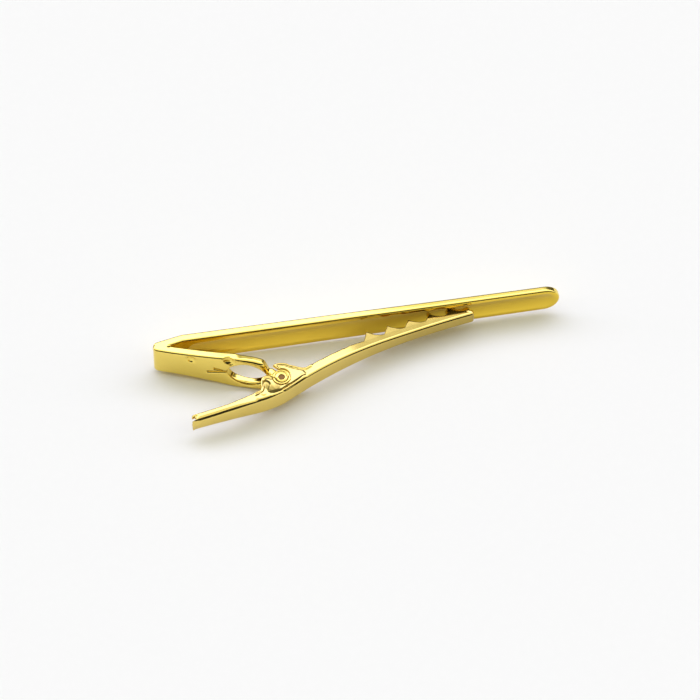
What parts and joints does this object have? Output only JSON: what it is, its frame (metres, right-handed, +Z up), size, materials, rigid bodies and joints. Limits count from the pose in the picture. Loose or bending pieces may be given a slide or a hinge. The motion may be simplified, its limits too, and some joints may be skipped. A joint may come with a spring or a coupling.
{
  "type": "tie clip",
  "caption": "Slim tie clip: a flat bar folded back into an arm with an eye-shaped window, and a sprung lever with a toothed jaw that grips against the back of the bar.",
  "frame": {"origin": "middle of the flat front face of the bar, which is the face that shows when the clip is worn", "axes": "+X along the bar from the fold to the tip, +Y out of the worn front, +Z up across the width while the clip lies on its long edge"},
  "size_m": [0.06, 0.0144, 0.0068],
  "materials": {
    "bar_metal": "polished gold plate",
    "pin_metal": "polished gold plate",
    "spring_metal": "thin gold plate over spring steel",
    "lever_metal": "polished gold plate"
  },
  "bodies": {
    "bar": {"bar_body": "bar_metal", "pivot_pin": "pin_metal", "leaf_spring": "spring_metal"},
    "lever": {"lever": "lever_metal"}
  },
  "joints": [
    {"name": "lever_hinge", "type": "hinge", "parent": "bar", "child": "lever", "pos_m": [-0.01347, -0.00889, 0], "axis": [0, 0, -1], "range_deg": [0, 14], "stiffness_Nm_per_rad": 0.01, "springref_deg": -45.84, "deforming": ["leaf_spring"]}
  ]
}
